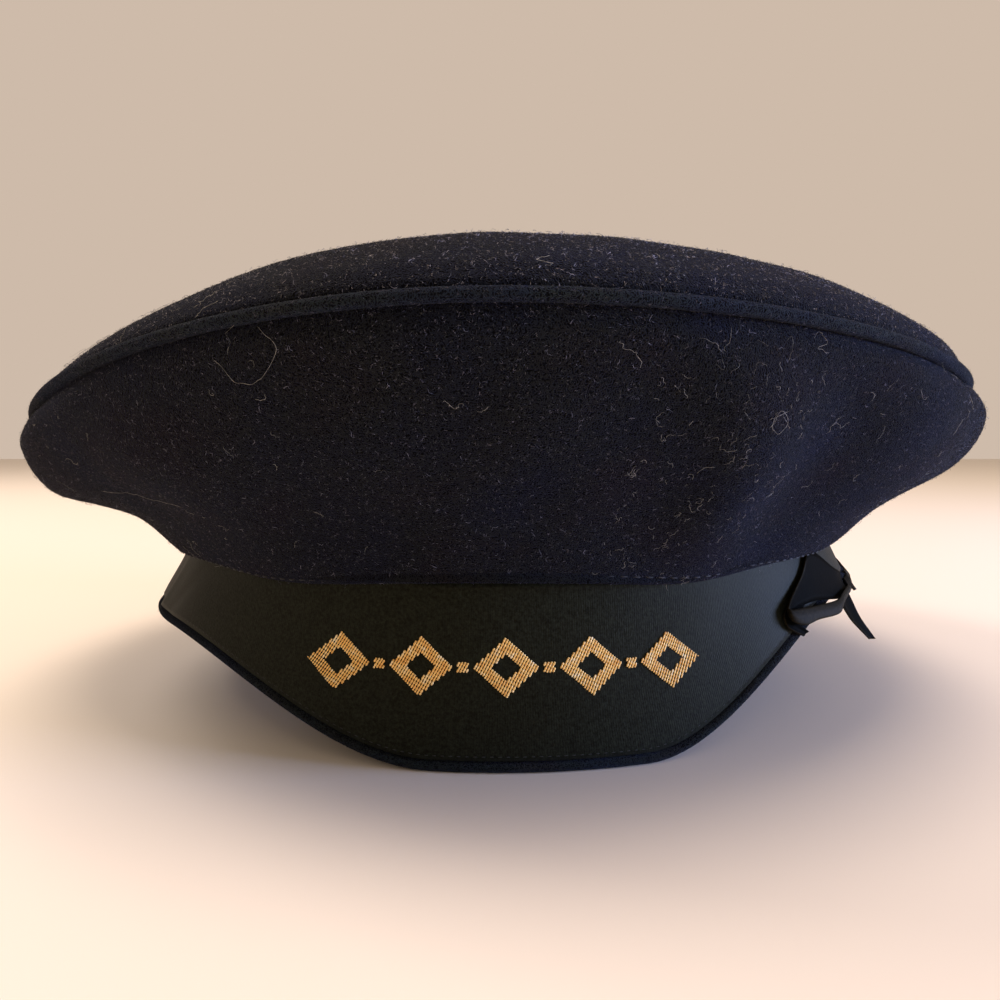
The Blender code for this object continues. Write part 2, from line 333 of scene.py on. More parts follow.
def grid_faces(rows, columns, round_it):
    """Four-cornered faces of a grid of points. Round it, the last column joins the first."""
    index = np.arange(rows * columns).reshape(rows, columns)
    if round_it:
        index = closed_round(index)
    return np.stack([index[:-1, :-1], index[:-1, 1:], index[1:, 1:], index[1:, :-1]], -1).reshape(-1, 4)


def fan(ring, tip, turned=False):
    """Faces from a closed ring of points to one more point, turned the other way if asked."""
    base = [np.roll(ring, -1), ring] if turned else [ring, np.roll(ring, -1)]
    return np.stack([*base, np.full(len(ring), tip)], -1)


def own_measure(grid):
    """UV of each face's corners, in millimetres along the rows and up the columns. A grid that goes
    round comes with its first column again at the end."""
    across = np.linalg.norm(np.diff(grid, axis=1), axis=-1).mean(axis=0)
    up = np.linalg.norm(np.diff(grid, axis=0), axis=-1).mean(axis=1)
    u = np.concatenate([[0.0], np.cumsum(across)])
    v = np.concatenate([[0.0], np.cumsum(up)])
    i, j = np.meshgrid(np.arange(len(up)), np.arange(len(across)), indexing="ij")
    corners_u = np.stack([u[j], u[j + 1], u[j + 1], u[j]], -1)
    corners_v = np.stack([v[i], v[i], v[i + 1], v[i + 1]], -1)
    return np.stack([corners_u, corners_v], -1).reshape(-1, 2)


def sheet_from(name, grid, wall, round_it=True, pole=None, offset=-1.0):
    """A sheet of cloth through a grid of points, with its thickness, and its own measure as UV. A pole
    is the point that closes the last row."""
    rows, columns = grid.shape[:2]
    faces = [grid_faces(rows, columns, round_it)]
    uv = own_measure(closed_round(grid) if round_it else grid)
    points = grid.reshape(-1, 3)
    if pole is not None:
        points = np.concatenate([points, [pole]])
        faces.append(fan(np.arange(rows * columns - columns, rows * columns), rows * columns))
        uv = np.concatenate([uv, np.zeros((columns * 3, 2))])
    made = mesh_object(name, points, faces, uv)
    thicken = made.modifiers.new("wall", "SOLIDIFY")
    thicken.thickness = wall * MM
    thicken.offset = offset
    return made


def closed_ring(name, rows):
    """A solid ring whose rows go once round its section: up outside and down inside."""
    count, columns = rows.shape[:2]
    faces = grid_faces(count + 1, columns, True) % (count * columns)
    uv = own_measure(closed_round(np.concatenate([rows, rows[:1]])))
    return mesh_object(name, rows.reshape(-1, 3), [faces], uv)


# Materials


def linear(hex_colour):
    """An sRGB hex colour as linear red, green, blue and 1."""
    value = np.array([int(hex_colour[i : i + 2], 16) for i in (1, 3, 5)]) / 255
    value = np.where(value <= 0.04045, value / 12.92, ((value + 0.055) / 1.055) ** 2.4)
    return (*value.tolist(), 1.0)


def add(tree, kind, inputs=None, **settings):
    """Adds a node. An input is given by its name or number, and is a value or another node's socket."""
    made = tree.nodes.new(kind)
    for key, value in settings.items():
        setattr(made, key, value)
    for socket, value in (inputs or {}).items():
        if isinstance(value, bpy.types.NodeSocket):
            tree.links.new(value, made.inputs[socket])
        else:
            made.inputs[socket].default_value = value
    return made


def ramp(tree, factor, stops):
    """A colour ramp through (place, hex colour) stops."""
    made = add(tree, "ShaderNodeValToRGB", {"Fac": factor})
    elements = made.color_ramp.elements
    while len(elements) < len(stops):
        elements.new(0.5)
    for element, (place, colour) in zip(elements, stops):
        element.position = place
        element.color = linear(colour)
    return made.outputs["Color"]


def material(name, settings):
    """A material whose shader has these settings, its tree, and the shader."""
    made = bpy.data.materials.new(name)
    made.use_nodes = True
    shader = made.node_tree.nodes["Principled BSDF"]
    for socket, value in settings.items():
        shader.inputs[socket].default_value = value
    return made, made.node_tree, shader


def noise(tree, scale, detail, vector=None, more=None, **settings):
    """A noise over the object's own coordinates, or over others."""
    vector = vector or add(tree, "ShaderNodeTexCoord").outputs["Object"]
    inputs = {"Vector": vector, "Scale": scale, "Detail": detail, **(more or {})}
    return add(tree, "ShaderNodeTexNoise", inputs, **settings).outputs["Fac"]


def relief(tree, shader, height, distance, strength):
    """Gives the shader a relief of this height, with its full depth in metres."""
    bump = add(tree, "ShaderNodeBump", {"Height": height, "Distance": distance, "Strength": strength})
    tree.links.new(bump.outputs["Normal"], shader.inputs["Normal"])


def wool(name, deep="#030304", light="#252526"):
    """Milled navy wool, nearly black: a matt felted face with a fine grain, and a soft bloom where it
    is seen at a low angle."""
    settings = {
        "Roughness": 0.95,
        "Specular IOR Level": 0.08,
        "Sheen Weight": 0.075,
        "Sheen Roughness": 0.4,
        "Sheen Tint": linear("#868ee0"),
    }
    made, tree, shader = material(name, settings)
    felted = {"Roughness": 0.6, "Offset": 0.9, "Gain": 2.0}
    curls = noise(tree, 2600.0, 2.0, more=felted, noise_type="RIDGED_MULTIFRACTAL")
    relief(tree, shader, curls, 0.0003, 0.8)
    tone = ramp(tree, curls, ((0.45, deep), (0.72, "#09090b"), (1.0, light)))
    tints = ((0.35, "#e0cfc4"), (0.5, "#d6ddd0"), (0.65, "#c2cdec"))
    tint = ramp(tree, noise(tree, 55.0, 3.0), tints)
    # A colour mix takes its share and its two colours by number, and gives the result by number
    both = {0: 1.0, 6: tone, 7: tint}
    colour = add(tree, "ShaderNodeMix", both, data_type="RGBA", blend_type="MULTIPLY").outputs[2]
    tree.links.new(colour, shader.inputs["Base Color"])
    return made


def thread(name, *tones, stops=(0.35, 0.5, 0.72), grain=1300.0, detail=1.0, roughness=0.8, gloss=0.2):
    """Loose fibres or thread, which take their tones by chance from place to place."""
    made, tree, shader = material(name, {"Roughness": roughness, "Specular IOR Level": gloss})
    colour = ramp(tree, noise(tree, grain, detail), tuple(zip(stops, tones)))
    tree.links.new(colour, shader.inputs["Base Color"])
    return made


# The ribbon's ribs: millimetres from one to the next, and their share of the relief beside its threads
RIB_PITCH = 0.5
RIB_SHARE = 0.1
THREADS_PER_MM = (3.4, 1.1, 1.0)


def ribbon_silk(name, dark="#050705", light="#20241c", gloss=0.10, bloom=0.015):
    """Black silk ribbon: fine ribs across it and a soft, slightly green sheen."""
    settings = {
        "Specular IOR Level": gloss,
        "Specular Tint": linear("#f2e6bc"),
        "Sheen Weight": bloom,
    }
    made, tree, shader = material(name, settings)
    uv = add(tree, "ShaderNodeUVMap", uv_map="along").outputs["UV"]
    along = add(tree, "ShaderNodeSeparateXYZ", {"Vector": uv}).outputs["X"]
    turns = add(tree, "ShaderNodeMath", {0: along, 1: 2 * np.pi / RIB_PITCH}, operation="MULTIPLY")
    ribs = add(tree, "ShaderNodeMath", {0: turns.outputs[0]}, operation="SINE")
    threads = add(tree, "ShaderNodeMapping", {"Vector": uv, "Scale": THREADS_PER_MM})
    slub = noise(tree, 1.0, 2.0, vector=threads.outputs[0])
    parts = {0: ribs.outputs[0], 1: RIB_SHARE, 2: slub}
    height = add(tree, "ShaderNodeMath", parts, operation="MULTIPLY_ADD")
    relief(tree, shader, height.outputs[0], 0.00012, 0.5)
    worn = noise(tree, 1500.0, 5.0, more={"Roughness": 0.75})
    tree.links.new(ramp(tree, worn, ((0.38, dark), (0.66, light))), shader.inputs["Base Color"])
    rough = add(tree, "ShaderNodeMapRange", {"Value": worn, "To Min": 0.5, "To Max": 0.64})
    tree.links.new(rough.outputs[0], shader.inputs["Roughness"])
    return made


def plain_cloth(name, hex_colour, roughness=0.85):
    """Closely woven cloth with a faint thread relief."""
    made, tree, shader = material(name, {"Base Color": linear(hex_colour), "Roughness": roughness})
    relief(tree, shader, noise(tree, 2500.0, 2.0), 0.0002, 0.4)
    return made


# Cloth pieces


def fold_at(angles, climb):
    """How far the side panel's folds stand out. Climb is 0 at a cloth's foot and 1 at its top."""
    out = 0.0
    for fold in SIDE_FOLDS:
        middle = fold.seam_angle + (fold.rim_angle - fold.seam_angle) * climb
        out = out + fold.out * swell(angles, middle, fold.spread)
    return out


def waves_at(waves, angles, climb):
    """How far these waves stand out."""
    return sum(w.height * np.sin(w.around * angles + w.upwards * climb + w.start) for w in waves)


def side_grid():
    """The side panel's outer face, from the seam on the band to the groove under the welt."""
    angles = ring_angles()
    line, up, _ = rim_frame(angles)
    end = line - up * (WELT_HALF_HEIGHT + SIDE_GROOVE)
    grid = through(lines_of(SIDE_PANEL, angles) + [end], STEPS_ON_SIDE)
    climb = np.linspace(0, 1, len(grid))[:, None]
    free = smooth((climb - FOLDS_START) / FOLDS_GROW) * smooth((1 - climb) / FOLDS_FADE)
    moved = (fold_at(angles, climb) + waves_at(CROWN_WAVES, angles + SIDE_WAVES_TURN, climb)) * free
    tuck = SEAM_TUCK + FRONT_TUCK * np.cos(angles) ** 2
    moved = moved - tuck * smooth(1 - (1 - climb) / SIDE_TUCK_SHARE)
    return grid + normals_of(grid) * moved[..., None]


def top_grid():
    """The top's outer face, from the groove over the welt to the ring round the pole."""
    angles = ring_angles()
    line, up, _ = rim_frame(angles)
    start = line + up * (WELT_HALF_HEIGHT + TOP_GROOVE)
    grid = through([start] + lines_of(TOP_PANEL, angles), STEPS_ON_TOP)
    climb = np.linspace(0, 1, len(grid))[:, None]
    waves = waves_at(CROWN_WAVES, angles + TOP_WAVES_TURN, climb)
    moved = TOP_WAVES_SHARE * waves * np.sin(np.pi * climb)
    moved = moved - SEAM_TUCK * (1 - smooth(climb / TOP_TUCK_SHARE))
    return grid + normals_of(grid) * moved[..., None]


def welt_rows():
    """The welt's roll, an ellipse carried round the rim, its face towards the outside."""
    line, up, out = rim_frame(ring_angles())
    turns = (2 * np.pi * (np.arange(SIDES_OF_WELT) + 0.5) / SIDES_OF_WELT)[:, None, None]
    roll = out * (WELT_HALF_DEPTH * np.cos(turns)) + up * (WELT_HALF_HEIGHT * np.sin(turns))
    return line - out * WELT_INSET + roll


# The wool hem's roll: how far in from the hem's line, and how high
HEM_ROLL = ((1.9, 0.0), (0.9, 0.0), (0.25, 0.35), (-0.05, 1.0), (0.2, 1.7), (0.9, 2.2), (1.9, 2.4))
# At the sides it leans in by this share of its height, and keeps this share of its height
HEM_LEAN = 0.55
HEM_SIDE_SHARE = 0.6
BAND_FOOT_INSIDE = 0.5


def hem_line(distance, height):
    """The hem's outline this far in and this high."""
    section = inset(HEM, distance)
    lean = HEM_LEAN * height
    section = section._replace(left=section.left - lean, right=section.right - lean)
    return at_height(section, height, height * HEM_SIDE_SHARE)


def band_rows():
    """The band's section: the hem's roll, the wall behind the ribbon, and down again inside."""
    angles = ring_angles()
    roll = [section_points(hem_line(d, h), angles) for d, h in HEM_ROLL]
    outside = through(lines_of(RIBBON_FACE, angles, BAND_INSET), STEPS_ON_BAND)
    inside = through(lines_of(RIBBON_FACE, angles, BAND_INSET + BAND_WALL), STEPS_ON_BAND)
    foot = section_points(hem_line(BAND_WALL, BAND_FOOT_INSIDE), angles)
    return np.concatenate([roll, outside, inside[::-1], [foot]])


# Heights over the ribbon's foot, measured along its face, and their places in RIBBON_FACE
RIBBON_HEIGHTS = (-6.0, 0.0, 17.2, 37.0)
RIBBON_PLACES = (-0.35, 0.0, 1.0, 2.0)


def ribbon_points(angles, heights, off=0.0):
    """Points on the ribbon's face, or off it, and the normals there, at these angles and heights."""
    places = np.interp(heights, RIBBON_HEIGHTS, RIBBON_PLACES)
    lines = lines_of(RIBBON_FACE, angles)
    point = at_places(lines, places)
    step = 0.002
    beside = at_places(lines_of(RIBBON_FACE, angles + step), places)
    over = at_places(lines, places + step)
    normal = unit(np.cross(beside - point, over - point))
    return point + normal * np.asarray(off)[..., None], normal


def ribbon_grid():
    """The ribbon's face, with small waves, and creases near its foot on the wearer's right."""
    angles = ring_angles(SIDES_OF_RIBBON)
    grid = through(lines_of(RIBBON_FACE, angles), STEPS_ON_RIBBON)
    climb = np.linspace(0, 1, len(grid))[:, None]
    middles = [(crease.out, crease.angle + crease.turn * climb) for crease in RIBBON_CREASES]
    creases = sum(out * swell(angles, middle, CREASE_SPREAD) for out, middle in middles)
    moved = waves_at(RIBBON_WAVES, angles, climb) * np.sin(np.pi * climb)
    moved = moved + creases * (1 - smooth(climb * CREASE_FADE))
    return grid + normals_of(grid) * moved[..., None]


SWEATBAND_FOOT = 0.8
SWEATBAND_LIFTED = 0.92
SWEATBAND_TOP = 34.0
SWEATBAND_TOP_BESIDE = 31.0


def sweatband_grid():
    """The sweatband's outer face, whose foot shows below the band where the arch lifts it less."""
    foot, middle, top = RIBBON_FACE
    foot = at_height(foot, SWEATBAND_FOOT, SWEATBAND_FOOT)._replace(lifted=SWEATBAND_LIFTED)
    top = at_height(top, SWEATBAND_TOP, SWEATBAND_TOP_BESIDE)
    return through(lines_of((foot, middle, top), ring_angles(), SWEATBAND_INSET), STEPS_ON_BAND)


# Bow: each row of a strip is a place on its upper edge and one on its lower edge, both in degrees round
# from the front, height, and how far it stands off the ribbon on the level

BOW_WALL = 0.5
BOW_CUP = 0.35
BOW_STEPS = 8
BOW_ACROSS = 9
BOW_STRIPS = {
    "bow_loop_front": (
        (60, 34, 0.9, 60, 29.5, 0.9),
        (57, 36, 0.9, 56.5, 28.2, 0.9),
        (51.5, 41, 0.9, 48.3, 29.7, 0.9),
        (47.5, 36.5, 1, 42.6, 28.8, 1.1),
        (41.8, 30, 1.8, 41.4, 27, 2.1),
        (43.6, 29.3, 2.3, 42.8, 25.7, 2.8),
        (47, 29.1, 2.2, 45.8, 26.2, 2.7),
        (52, 29, 2.2, 50.8, 26.2, 2.7),
        (55.5, 29.9, 1.8, 54.5, 28, 2),
        (60, 30.6, 1.6, 60, 29.2, 1.6),
    ),
    "bow_loop_back": (
        (66, 32.5, 0.7, 66, 28.5, 0.7),
        (72, 32, 0.7, 72, 27, 0.7),
        (80, 33.5, 0.7, 81, 25.5, 0.7),
        (88, 34.5, 0.8, 90, 25, 0.8),
        (90, 34, 1.3, 91.5, 24.5, 1.3),
        (87, 33, 1.5, 88, 24, 1.5),
        (80, 31.5, 1.4, 80.5, 24.5, 1.4),
        (72, 30.5, 1.3, 72, 26, 1.3),
        (66, 31, 1.3, 66, 27.5, 1.3),
    ),
    "bow_tail_long": (
        (55, 26.9, 1, 59.5, 29.4, 1),
        (55.4, 24.6, 1.1, 59.4, 26.2, 1.2),
        (56, 22.2, 1.4, 59, 22.2, 1.7),
        (58, 17.4, 2.4, 59.5, 16.8, 3),
    ),
    "bow_tail_short": (
        (45.5, 33.5, 0.5, 49, 33, 0.5),
        (41.6, 28.6, 0.6, 44.5, 28, 0.6),
        (41, 26.8, 0.8, 43, 26.5, 0.9),
        (41.2, 25, 1, 43.3, 25.2, 1.2),
        (43.2, 22.7, 1.2, 44.2, 23.6, 1.3),
    ),
}
# The knot, from and to: degrees round from the front, height, and distance off the ribbon
KNOT_ANGLES = (60.6, 65.4)
KNOT_HEIGHTS = (28.2, 32.2)
KNOT_OFFS = (0.4, 1.5)
KNOT_ROWS = 13
KNOT_SIDES = 28
KNOT_WAIST = 0.12
KNOT_PLEAT = 0.05
KNOT_PLEATS = 3
FACE_STEPS = 20
FLARE_CARRIED_ON = 20


def beside_band(angle_deg, height, off):
    """A point at this height, and this far out on the level from the ribbon's face, which is carried
    on straight below its foot."""
    angles = np.radians(angle_deg) + np.radians(np.array([-0.5, 0.0, 0.5]))
    face = through(lines_of(RIBBON_FACE, angles), FACE_STEPS)
    rows = np.concatenate([face[:1, 1] - (face[1, 1] - face[0, 1]) * FLARE_CARRIED_ON, face[:, 1]])
    x, y = (np.interp(height, rows[:, 2], rows[:, k]) for k in (0, 1))
    along = face[0][2] - face[0][0]
    out = unit(np.array([along[1], -along[0], 0.0]))
    return np.array([x, y, height]) + out * off


def bow_strip(name, rows):
    """A strip of ribbon between its two edges, slightly cupped across."""
    tops = through([beside_band(*row[:3]) for row in rows], BOW_STEPS)
    feet = through([beside_band(*row[3:]) for row in rows], BOW_STEPS)
    share = np.linspace(0, 1, BOW_ACROSS)[:, None, None]
    grid = feet + (tops - feet) * share
    bulge = unit(np.cross(np.gradient((tops + feet) / 2, axis=0), tops - feet))
    grid = grid + bulge * BOW_CUP * np.sin(np.pi * share)
    return sheet_from(name, grid, BOW_WALL, round_it=False, offset=0.0)


def bow_knot(name):
    """The wrap between the loops: rounded, pleated, and drawn in at the waist."""
    along = np.linspace(0, 1, KNOT_ROWS)
    angles = KNOT_ANGLES[0] + np.ptp(KNOT_ANGLES) * along
    turns = ring_angles(KNOT_SIDES)
    places = []
    for angle, t in zip(angles, along):
        girth = 1.0 - KNOT_WAIST * np.sin(np.pi * t) - KNOT_PLEAT * np.cos(2 * KNOT_PLEATS * np.pi * t)
        heights = np.mean(KNOT_HEIGHTS) + np.ptp(KNOT_HEIGHTS) / 2 * girth * np.cos(turns)
        offs = KNOT_OFFS[0] + np.ptp(KNOT_OFFS) / 2 * girth * (1 + np.sin(turns))
        places.append([beside_band(angle, height, off) for height, off in zip(heights, offs)])
    grid = np.array(places)
    ends = [grid[0].mean(axis=0), grid[-1].mean(axis=0)]
    points = np.concatenate([grid.reshape(-1, 3), ends])
    count = KNOT_ROWS * KNOT_SIDES
    ring = np.arange(KNOT_SIDES)
    caps = [fan(ring, count, turned=True), fan(ring + count - KNOT_SIDES, count + 1)]
    faces = [grid_faces(KNOT_ROWS, KNOT_SIDES, True), *caps]
    made = mesh_object(name, points, faces, np.zeros((sum(f.size for f in faces), 2)))
    turn_out(made)
    return made


def turn_out(made):
    """Turns a closed mesh's faces outwards."""
    bm = bmesh.new()
    bm.from_mesh(made.data)
    bmesh.ops.recalc_face_normals(bm, faces=bm.faces)
    bm.to_mesh(made.data)
    bm.free()


# Fibres, stitches and threads: many small shapes in one mesh


def scattered(grid, count, rng, keep=None):
    """Points, normals and tangents at random places, spread evenly over a round grid's kept faces."""
    closed = closed_round(grid)
    a, b, c, d = closed[:-1, :-1], closed[:-1, 1:], closed[1:, 1:], closed[1:, :-1]
    cross = np.cross(c - a, d - b)
    area = np.linalg.norm(cross, axis=-1)
    if keep is not None:
        area = area * keep
    chosen = rng.choice(area.size, count, p=(area / area.sum()).ravel())
    i, j = np.unravel_index(chosen, area.shape)
    s, t = rng.random((2, count, 1))
    low, high = a[i, j] * (1 - s) + b[i, j] * s, d[i, j] * (1 - s) + c[i, j] * s
    return low * (1 - t) + high * t, unit(cross[i, j]), unit(b[i, j] - a[i, j])


# Nap: how many fibres, how long, how far they rise as a share of that, and how wide
Nap = namedtuple("Nap", "count length rise width")
CROWN_NAP = Nap(170000, 0.5, 0.5, 0.09)
WELT_NAP = Nap(30000, 0.6, 0.4, 0.045)
BAND_NAP = Nap(16000, 0.5, 0.4, 0.04)
# Shares of the length: the shortest fibre's, and how much more the longest's is
NAP_SHORTEST = 0.35
NAP_LONGER = 1.3
NAP_FOOT_OFF = 0.02
NAP_TIP_OFF = 0.05


def nap(name, grid, kind, rng):
    """Short fibres on a cloth's face: thin pointed blades that lean over, each in its own direction."""
    count = kind.count
    points, normals, tangents = scattered(grid, count, rng)
    turn = rng.random(count) * 2 * np.pi
    sides = np.cross(normals, tangents)
    way = tangents * np.cos(turn)[:, None] + sides * np.sin(turn)[:, None]
    long = (kind.length * (NAP_SHORTEST + NAP_LONGER * rng.random(count) ** 2))[:, None]
    up = (kind.rise * rng.random(count) ** 2)[:, None] * long
    roll = (rng.random(count) * np.pi)[:, None]
    half = (np.cross(normals, way) * np.cos(roll) + normals * np.sin(roll)) * kind.width / 2
    start = points + normals * NAP_FOOT_OFF
    end = points + way * long + normals * (NAP_TIP_OFF + up)
    made = np.stack([start - half, start + half, end], axis=1)
    made[..., 2] = np.maximum(made[..., 2], FLOOR_GAP)
    faces = np.arange(count * 3).reshape(-1, 3)
    return mesh_object(name, made.reshape(-1, 3), [faces], smooth_shaded=False)


STRAND_SIDES = 3
STRAND_TAPER = 0.4
# A direction that hardly any strand runs in
ASKEW = np.array([0.31, 0.22, 0.92])


def strands(name, paths, radius):
    """Strands along paths, an array of strands by points: a ring of sides at each point."""
    count, joints = paths.shape[:2]
    along = unit(np.gradient(paths, axis=1))
    helper = unit(np.cross(along, ASKEW))
    other = np.cross(along, helper)
    taper = np.ones(joints)
    taper[[0, -1]] = STRAND_TAPER
    turns = ring_angles(STRAND_SIDES)[:, None]
    radius = np.broadcast_to(radius, (count,))[:, None, None, None]
    ring = helper[:, :, None] * np.cos(turns) + other[:, :, None] * np.sin(turns)
    points = paths[:, :, None] + ring * radius * taper[:, None, None]
    index = np.arange(count * joints * STRAND_SIDES).reshape(count, joints, STRAND_SIDES)
    quads = (grid_faces(joints, STRAND_SIDES, True) + index[:, :1, :1]).reshape(-1, 4)
    ends = np.concatenate([index[:, 0, ::-1], index[:, -1]])
    return mesh_object(name, points.reshape(-1, 3), [quads, ends], smooth_shaded=False)


CURL_DRIFT = 0.8
LEAST_HOVER = 0.3


def curled(place, rng, joints, step, curl, hover):
    """Paths of loose fibres on the cloth, whose heading drifts by chance from joint to joint."""
    points, normals, tangents = place
    count = len(points)
    sides = np.cross(normals, tangents)
    heading = rng.random((count, 1)) * 2 * np.pi
    bend = rng.normal(0, curl, (count, 1))
    heading = heading + bend + rng.normal(0, curl * CURL_DRIFT, (count, joints - 1)).cumsum(axis=1)
    steps = np.broadcast_to(step, (count,))[:, None, None]
    moves = tangents[:, None] * np.cos(heading)[..., None] + sides[:, None] * np.sin(heading)[..., None]
    path = np.concatenate([np.zeros((count, 1, 3)), (moves * steps).cumsum(axis=1)], axis=1)
    height = hover * (LEAST_HOVER + rng.random((count, joints)))
    return points[:, None] + path + normals[:, None] * height[..., None]


def pods(name, centres, lengthwise, widthwise, out, size, rings=3, sides=6):
    """Small rounded pods, such as stitches or thread floats, with these half sizes along three
    directions."""
    stops = np.sin(np.linspace(-np.pi / 2, np.pi / 2, rings + 2)[1:-1])
    turns = ring_angles(sides)
    girth = np.sqrt(1 - stops**2)
    count = len(centres)
    a, b, c = (np.asarray(s, float) for s in size)
    body = (
        lengthwise[:, None, None] * (a * stops)[:, None, None]
        + widthwise[:, None, None] * (b * girth[:, None] * np.cos(turns))[..., None]
        + out[:, None, None] * (c * girth[:, None] * np.sin(turns))[..., None]
    )
    poles = np.stack([-lengthwise * a, lengthwise * a], axis=1)
    points = np.concatenate([body.reshape(count, -1, 3), poles], axis=1) + centres[:, None]
    tip = rings * sides
    ring = np.arange(sides)
    caps = np.concatenate([fan(ring, tip, turned=True), fan(ring + tip - sides, tip + 1)])
    base = np.arange(count)[:, None, None] * (tip + 2)
    quads = grid_faces(rings, sides, True)
    faces = [(quads + base).reshape(-1, 4), (caps + base).reshape(-1, 3)]
    return mesh_object(name, points.reshape(-1, 3), faces)


# Woven ornament: a row of open lozenges with small squares between, measured along the ribbon's face

ORNAMENT_MIDDLE = 1.2
ORNAMENT_FOOT = 13.6
ORNAMENT_HEIGHT = 12.4
LOZENGE_WIDTH = 13.4
LOZENGE_STROKE = 2.5
LOZENGE_PITCH = 17.2
LOZENGES = 5
SQUARE_SIZE = 2.2
FLOAT_PITCH = 0.55
FLOAT_LENGTH = 0.8
FLOAT_LEAN = np.radians(26.0)
FLOAT_SAMPLES = 11
SHORTEST_FLOAT = 0.25
# Half of a float's or a ground thread's length, width and height
FLOAT_HALVES = (0.50, 0.25, 0.17)
GROUND_HALVES = (0.50, 0.36, 0.06)
RIBBON_RADIUS = 89.0


def in_ornament(u, v):
    """True where the pattern has gold, this far along and up from its middle. The level is 0 in a
    lozenge's middle and 1 on its outline."""
    half_w, half_h = LOZENGE_WIDTH / 2, ORNAMENT_HEIGHT / 2
    first = -(LOZENGES - 1) / 2 * LOZENGE_PITCH
    which = np.clip(np.round((u - first) / LOZENGE_PITCH), 0, LOZENGES - 1)
    near = u - first - which * LOZENGE_PITCH
    level = np.abs(near) / half_w + np.abs(v) / half_h
    slope = np.hypot(1 / half_w, 1 / half_h)
    outline = (level <= 1.0) & (level >= 1.0 - LOZENGE_STROKE * slope)
    gap = np.abs(np.abs(near) - LOZENGE_PITCH / 2)
    between = (gap <= SQUARE_SIZE / 2) & (np.abs(v) <= SQUARE_SIZE / 2)
    inside = np.abs(u) <= -first
    return outline | (between & inside)


def ornament_floats():
    """Places and lengths of the gold floats: leaning threads side by side, each of short floats end
    to end, which are cut to the share that lies in the pattern."""
    across, up = np.sin(FLOAT_LEAN), np.cos(FLOAT_LEAN)
    threads = int(LOZENGES * LOZENGE_PITCH / 2 * up / FLOAT_PITCH) + 2
    floats = int(ORNAMENT_HEIGHT / 2 / (FLOAT_LENGTH * up)) + 2
    i, j = np.meshgrid(np.arange(-threads, threads + 1), np.arange(-floats, floats + 1))
    j = j + np.round(i * FLOAT_PITCH * across / up / FLOAT_LENGTH)
    u = i * FLOAT_PITCH * up + j * FLOAT_LENGTH * across
    v = j * FLOAT_LENGTH * up - i * FLOAT_PITCH * across
    along = np.linspace(-0.5, 0.5, FLOAT_SAMPLES) * FLOAT_LENGTH
    inside = in_ornament(u[..., None] + across * along, v[..., None] + up * along)
    share = inside.mean(axis=-1)
    middle = (inside * along).sum(axis=-1) / np.maximum(inside.sum(axis=-1), 1)
    kept = share >= SHORTEST_FLOAT
    return (u + across * middle)[kept], (v + up * middle)[kept], share[kept]


def ornament(name, halves, off, rings, sides):
    """The floats, or the ground threads under them, as pods on the ribbon's face."""
    u, v, share = ornament_floats()
    angles = (u + ORNAMENT_MIDDLE) / RIBBON_RADIUS
    heights = v + ORNAMENT_FOOT + ORNAMENT_HEIGHT / 2 - lift_at(angles)
    centres, normals = ribbon_points(angles, heights, off)
    step = 0.1
    above, _ = ribbon_points(angles, heights + step, off)
    up = unit(above - centres)
    across = np.cross(up, normals)
    slant = unit(up + across * np.tan(FLOAT_LEAN))
    wide = unit(np.cross(slant, normals))
    return pods(name, centres, slant * share[:, None], wide, normals, halves, rings, sides)


# Stitches: pitch, half of a stitch's length, width and height, and its distance off the cloth
Stitch = namedtuple("Stitch", "pitch long wide high off")
STITCH_SIDES = 5
SEAM_STITCH = Stitch(2.5, 0.8, 0.2, 0.18, 0.12)
# The seam's place on the side panel, counted in its sections
SEAM_STITCH_PLACE = 3.13
RIBBON_STITCH = Stitch(1.5, 0.42, 0.09, 0.07, 0.03)
RIBBON_STITCH_HEIGHT = 0.9


def stitches(name, points, normals, stitch):
    """A pod at each point, laid along the line through the points."""
    along = unit(np.roll(points, -1, axis=0) - np.roll(points, 1, axis=0))
    across = unit(np.cross(along, normals))
    return pods(name, points, along, across, normals, stitch[1:4], sides=STITCH_SIDES)


def seam_stitches(name, side):
    """The row that holds the crown's side to the band, close over its lower edge."""
    count = int(2 * np.pi * SIDE_PANEL[3].front / SEAM_STITCH.pitch)
    columns = np.arange(count) * side.shape[1] / count
    rows = np.full(count, SEAM_STITCH_PLACE * STEPS_ON_SIDE)
    normals = unit(on_grid(normals_of(side), columns, rows))
    points = on_grid(side, columns, rows) + normals * SEAM_STITCH.off
    return stitches(name, points, normals, SEAM_STITCH)


def ribbon_stitches(name):
    """The row along the ribbon's foot."""
    angles = ring_angles(int(2 * np.pi * RIBBON_FACE[0].front / RIBBON_STITCH.pitch))
    heights = np.full(len(angles), RIBBON_STITCH_HEIGHT)
    points, normals = ribbon_points(angles, heights, RIBBON_STITCH.off)
    return stitches(name, points, normals, RIBBON_STITCH)


# Build

